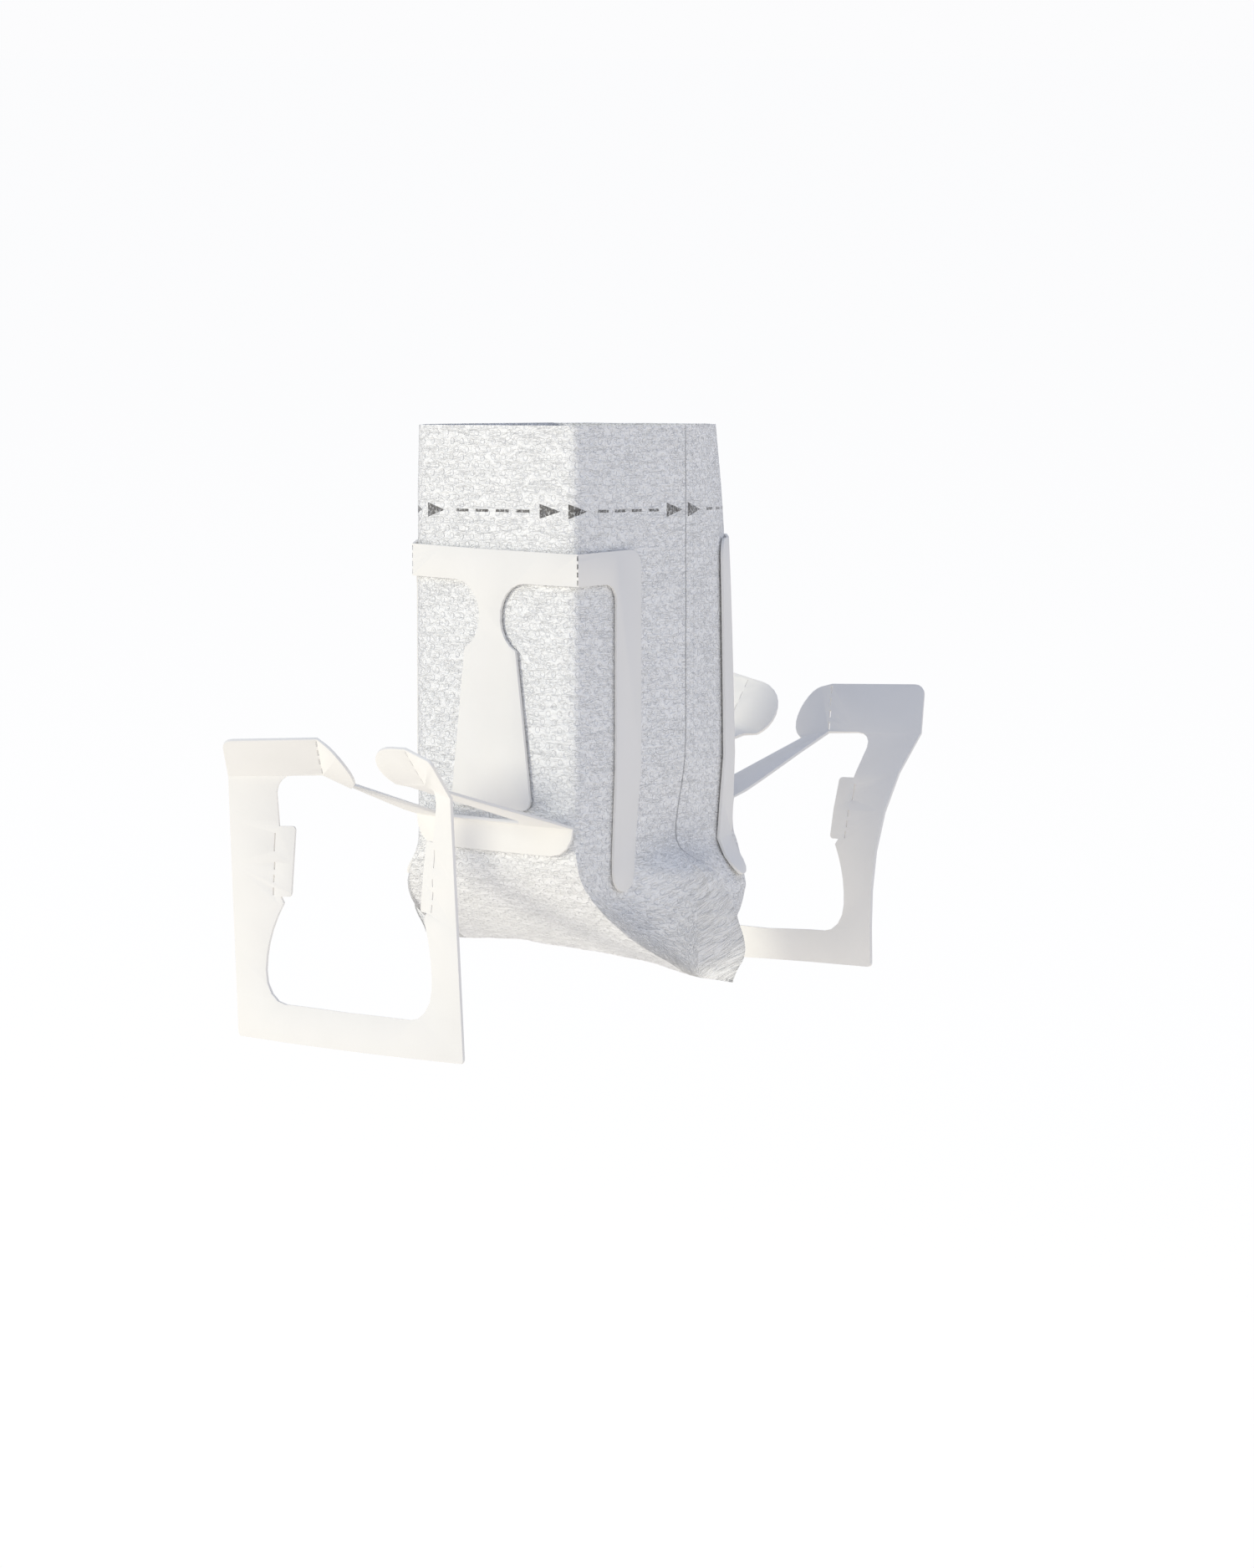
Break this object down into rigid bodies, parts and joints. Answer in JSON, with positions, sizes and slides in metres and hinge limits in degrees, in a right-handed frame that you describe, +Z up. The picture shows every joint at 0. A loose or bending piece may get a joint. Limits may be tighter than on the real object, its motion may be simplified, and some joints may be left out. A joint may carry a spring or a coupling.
{
  "type": "drip coffee bag",
  "caption": "Open filter bag of thin nonwoven with card ears folded out on both sides, which hook over a cup's rim.",
  "frame": {"origin": "on the bag's upright axis, at the height of the cup's rim that the ears hang on", "axes": "+Z up through the open mouth, -Y out of the front panel towards the front ear"},
  "size_m": [0.0724, 0.1219, 0.0875],
  "materials": {
    "nonwoven": "thin embossed nonwoven",
    "card": "uncoated white card"
  },
  "bodies": {
    "root": {"filter_bag": "nonwoven", "front_frame": "card", "front_ear": "card", "rear_frame": "card", "rear_ear": "card"}
  },
  "joints": []
}
